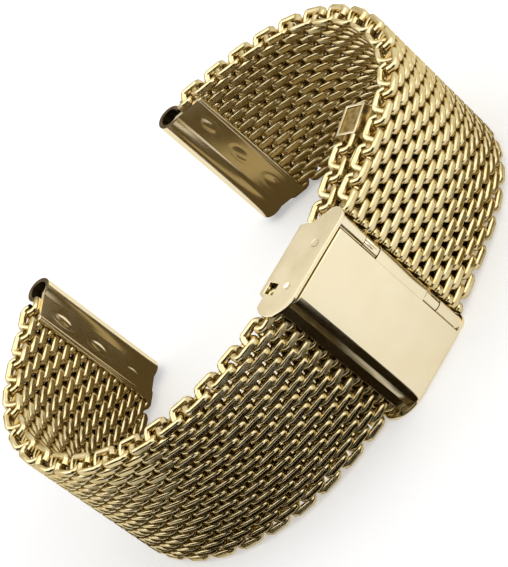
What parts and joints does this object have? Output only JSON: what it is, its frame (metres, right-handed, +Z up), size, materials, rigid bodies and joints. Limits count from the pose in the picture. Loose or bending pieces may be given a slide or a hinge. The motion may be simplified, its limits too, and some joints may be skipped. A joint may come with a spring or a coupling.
{
  "type": "watch band",
  "caption": "Closed mesh watch band with a sliding fold-over clasp, a locking lever under its cover, hinged woven links, a tucked free end and tube ends for the watch",
  "frame": {"origin": "On the edge that the band stands on, under the middle of its bounding box", "axes": "+X along the clasp towards the cover hinge, +Y from the clasp cover through the wrist towards the watch, +Z up across the band's width"},
  "size_m": [0.0622, 0.0464, 0.0218],
  "materials": {
    "mesh": "champagne gold plated steel wire, rolled flat and polished",
    "steel": "champagne gold plated sheet steel, polished"
  },
  "bodies": {
    "clasp": {"clasp_body": "steel", "cover_pin": "steel", "lever_pin": "steel"},
    "cover": {"cover": "steel"},
    "lever": {"lever": "steel"},
    "strap_end": {"strap_hook": "steel", "short_link_00": "mesh"},
    "clasp_rows": {"clasp_rows": "mesh"},
    "short_link_01": {"short_link_01": "mesh"},
    "short_link_02": {"short_link_02": "mesh"},
    "short_link_03": {"short_link_03": "mesh"},
    "short_link_04": {"short_link_04": "mesh"},
    "short_link_05": {"short_link_05": "mesh"},
    "short_link_06": {"short_link_06": "mesh"},
    "short_link_07": {"short_link_07": "mesh"},
    "short_link_08": {"short_link_08": "mesh"},
    "short_link_09": {"short_link_09": "mesh"},
    "short_link_10": {"short_link_10": "mesh"},
    "short_link_11": {"short_link_11": "mesh"},
    "short_link_12": {"short_link_12": "mesh"},
    "short_link_13": {"short_link_13": "mesh"},
    "short_link_14": {"short_link_14": "mesh"},
    "short_link_15": {"short_link_15": "mesh"},
    "short_link_16": {"short_link_16": "mesh", "short_lug": "steel"},
    "long_link_01": {"long_link_01": "mesh"},
    "long_link_02": {"long_link_02": "mesh"},
    "long_link_03": {"long_link_03": "mesh"},
    "long_link_04": {"long_link_04": "mesh"},
    "long_link_05": {"long_link_05": "mesh"},
    "long_link_06": {"long_link_06": "mesh"},
    "long_link_07": {"long_link_07": "mesh"},
    "long_link_08": {"long_link_08": "mesh"},
    "long_link_09": {"long_link_09": "mesh"},
    "long_link_10": {"long_link_10": "mesh"},
    "long_link_11": {"long_link_11": "mesh"},
    "long_link_12": {"long_link_12": "mesh"},
    "long_link_13": {"long_link_13": "mesh"},
    "long_link_14": {"long_link_14": "mesh"},
    "long_link_15": {"long_link_15": "mesh"},
    "long_link_16": {"long_link_16": "mesh"},
    "long_link_17": {"long_link_17": "mesh", "long_lug": "steel"},
    "tail_link_01": {"tail_link_01": "mesh"},
    "tail_link_02": {"tail_link_02": "mesh"},
    "tail_link_03": {"tail_link_03": "mesh"},
    "tail_link_04": {"tail_link_04": "mesh", "tail_cap": "steel"}
  },
  "joints": [
    {"name": "cover_hinge", "type": "hinge", "parent": "clasp", "child": "cover", "pos_m": [0.00503, -0.02176, 0.01093], "axis": [0, 0, 1], "range_deg": [0, 90]},
    {"name": "lever_hinge", "type": "hinge", "parent": "clasp", "child": "lever", "pos_m": [0.00183, -0.02126, 0.01093], "axis": [0, 0, 1], "range_deg": [0, 36]},
    {"name": "strap_end_hinge", "type": "hinge", "parent": "clasp", "child": "strap_end", "pos_m": [0.00503, -0.02176, 0.01093], "axis": [0, 0, -1], "range_deg": [0, 10]},
    {"name": "clasp_slide", "type": "slide", "parent": "clasp", "child": "clasp_rows", "axis": [1, 0, 0], "range_m": [-0.0006, 0.0016]},
    {"name": "short_link_01_hinge", "type": "hinge", "parent": "strap_end", "child": "short_link_01", "pos_m": [0.00838, -0.02054, 0.01093], "axis": [0, 0, -1], "range_deg": [0, 3]},
    {"name": "short_link_02_hinge", "type": "hinge", "parent": "short_link_01", "child": "short_link_02", "pos_m": [0.012, -0.01987, 0.01093], "axis": [0, 0, -1], "range_deg": [0, 5]},
    {"name": "short_link_03_hinge", "type": "hinge", "parent": "short_link_02", "child": "short_link_03", "pos_m": [0.0156, -0.01908, 0.01093], "axis": [0, 0, -1], "range_deg": [0, 8]},
    {"name": "short_link_04_hinge", "type": "hinge", "parent": "short_link_03", "child": "short_link_04", "pos_m": [0.01911, -0.01797, 0.01093], "axis": [0, 0, -1], "range_deg": [0, 11.5]},
    {"name": "short_link_05_hinge", "type": "hinge", "parent": "short_link_04", "child": "short_link_05", "pos_m": [0.02241, -0.01636, 0.01093], "axis": [0, 0, -1], "range_deg": [0, 15.5]},
    {"name": "short_link_06_hinge", "type": "hinge", "parent": "short_link_05", "child": "short_link_06", "pos_m": [0.02529, -0.01406, 0.01093], "axis": [0, 0, -1], "range_deg": [-2, 17]},
    {"name": "short_link_07_hinge", "type": "hinge", "parent": "short_link_06", "child": "short_link_07", "pos_m": [0.02753, -0.01115, 0.01093], "axis": [0, 0, -1], "range_deg": [-2, 16.5]},
    {"name": "short_link_08_hinge", "type": "hinge", "parent": "short_link_07", "child": "short_link_08", "pos_m": [0.02903, -0.00778, 0.01093], "axis": [0, 0, -1], "range_deg": [-2, 15.5]},
    {"name": "short_link_09_hinge", "type": "hinge", "parent": "short_link_08", "child": "short_link_09", "pos_m": [0.02976, -0.00418, 0.01093], "axis": [0, 0, -1], "range_deg": [-2, 15]},
    {"name": "short_link_10_hinge", "type": "hinge", "parent": "short_link_09", "child": "short_link_10", "pos_m": [0.02973, -0.0005, 0.01093], "axis": [0, 0, -1], "range_deg": [-2, 16]},
    {"name": "short_link_11_hinge", "type": "hinge", "parent": "short_link_10", "child": "short_link_11", "pos_m": [0.02887, 0.00308, 0.01093], "axis": [0, 0, -1], "range_deg": [-2, 16]},
    {"name": "short_link_12_hinge", "type": "hinge", "parent": "short_link_11", "child": "short_link_12", "pos_m": [0.02723, 0.00637, 0.01093], "axis": [0, 0, -1], "range_deg": [-2, 14.5]},
    {"name": "short_link_13_hinge", "type": "hinge", "parent": "short_link_12", "child": "short_link_13", "pos_m": [0.02496, 0.00927, 0.01093], "axis": [0, 0, -1], "range_deg": [-2, 11.5]},
    {"name": "short_link_14_hinge", "type": "hinge", "parent": "short_link_13", "child": "short_link_14", "pos_m": [0.0223, 0.01181, 0.01093], "axis": [0, 0, -1], "range_deg": [-2, 8.5]},
    {"name": "short_link_15_hinge", "type": "hinge", "parent": "short_link_14", "child": "short_link_15", "pos_m": [0.0194, 0.01407, 0.01093], "axis": [0, 0, -1], "range_deg": [-2, 5.5]},
    {"name": "short_link_16_hinge", "type": "hinge", "parent": "short_link_15", "child": "short_link_16", "pos_m": [0.0179, 0.01514, 0.01093], "axis": [0, 0, -1], "range_deg": [-2, 3.5]},
    {"name": "long_link_01_hinge", "type": "hinge", "parent": "clasp_rows", "child": "long_link_01", "pos_m": [-0.00811, -0.01916, 0.01093], "axis": [0, 0, 1], "range_deg": [-2, 15.5]},
    {"name": "long_link_02_hinge", "type": "hinge", "parent": "long_link_01", "child": "long_link_02", "pos_m": [-0.01171, -0.01836, 0.01093], "axis": [0, 0, 1], "range_deg": [-2, 6]},
    {"name": "long_link_03_hinge", "type": "hinge", "parent": "long_link_02", "child": "long_link_03", "pos_m": [-0.01525, -0.01738, 0.01093], "axis": [0, 0, 1], "range_deg": [-2, 11.5]},
    {"name": "long_link_04_hinge", "type": "hinge", "parent": "long_link_03", "child": "long_link_04", "pos_m": [-0.01862, -0.01588, 0.01093], "axis": [0, 0, 1], "range_deg": [-2, 12]},
    {"name": "long_link_05_hinge", "type": "hinge", "parent": "long_link_04", "child": "long_link_05", "pos_m": [-0.0217, -0.01388, 0.01093], "axis": [0, 0, 1], "range_deg": [-2, 12]},
    {"name": "long_link_06_hinge", "type": "hinge", "parent": "long_link_05", "child": "long_link_06", "pos_m": [-0.02444, -0.01141, 0.01093], "axis": [0, 0, 1], "range_deg": [-2, 12.5]},
    {"name": "long_link_07_hinge", "type": "hinge", "parent": "long_link_06", "child": "long_link_07", "pos_m": [-0.02673, -0.00853, 0.01093], "axis": [0, 0, 1], "range_deg": [-2, 13.5]},
    {"name": "long_link_08_hinge", "type": "hinge", "parent": "long_link_07", "child": "long_link_08", "pos_m": [-0.02846, -0.00529, 0.01093], "axis": [0, 0, 1], "range_deg": [-2, 14.5]},
    {"name": "long_link_09_hinge", "type": "hinge", "parent": "long_link_08", "child": "long_link_09", "pos_m": [-0.0295, -0.00176, 0.01093], "axis": [0, 0, 1], "range_deg": [-2, 14.5]},
    {"name": "long_link_10_hinge", "type": "hinge", "parent": "long_link_09", "child": "long_link_10", "pos_m": [-0.02982, 0.00191, 0.01093], "axis": [0, 0, 1], "range_deg": [-2, 15]},
    {"name": "long_link_11_hinge", "type": "hinge", "parent": "long_link_10", "child": "long_link_11", "pos_m": [-0.02937, 0.00556, 0.01093], "axis": [0, 0, 1], "range_deg": [-2, 15]},
    {"name": "long_link_12_hinge", "type": "hinge", "parent": "long_link_11", "child": "long_link_12", "pos_m": [-0.02817, 0.00904, 0.01093], "axis": [0, 0, 1], "range_deg": [-2, 15]},
    {"name": "long_link_13_hinge", "type": "hinge", "parent": "long_link_12", "child": "long_link_13", "pos_m": [-0.02628, 0.0122, 0.01093], "axis": [0, 0, 1], "range_deg": [-2, 15]},
    {"name": "long_link_14_hinge", "type": "hinge", "parent": "long_link_13", "child": "long_link_14", "pos_m": [-0.02377, 0.01489, 0.01093], "axis": [0, 0, 1], "range_deg": [-2, 14.5]},
    {"name": "long_link_15_hinge", "type": "hinge", "parent": "long_link_14", "child": "long_link_15", "pos_m": [-0.02077, 0.01702, 0.01093], "axis": [0, 0, 1], "range_deg": [-2, 10.5]},
    {"name": "long_link_16_hinge", "type": "hinge", "parent": "long_link_15", "child": "long_link_16", "pos_m": [-0.01752, 0.01875, 0.01093], "axis": [0, 0, 1], "range_deg": [-2, 3]},
    {"name": "long_link_17_hinge", "type": "hinge", "parent": "long_link_16", "child": "long_link_17", "pos_m": [-0.01591, 0.01964, 0.01093], "axis": [0, 0, 1], "range_deg": [-2, 3]},
    {"name": "tail_link_01_hinge", "type": "hinge", "parent": "clasp_rows", "child": "tail_link_01", "pos_m": [0.00293, -0.01916, 0.01093], "axis": [0, 0, -1], "range_deg": [-8, 3]},
    {"name": "tail_link_02_hinge", "type": "hinge", "parent": "tail_link_01", "child": "tail_link_02", "pos_m": [0.00643, -0.01802, 0.01093], "axis": [0, 0, -1], "range_deg": [-8, 0]},
    {"name": "tail_link_03_hinge", "type": "hinge", "parent": "tail_link_02", "child": "tail_link_03", "pos_m": [0.00994, -0.01694, 0.01093], "axis": [0, 0, -1], "range_deg": [-8, 0]},
    {"name": "tail_link_04_hinge", "type": "hinge", "parent": "tail_link_03", "child": "tail_link_04", "pos_m": [0.01344, -0.01581, 0.01093], "axis": [0, 0, -1], "range_deg": [-8, 0]}
  ],
  "couplings": [
    {"joint": "lever_hinge", "follows": "cover_hinge", "ratio": 0.4},
    {"joint": "tail_link_01_hinge", "follows": "clasp_slide", "rad_per_m": -87.266}
  ]
}
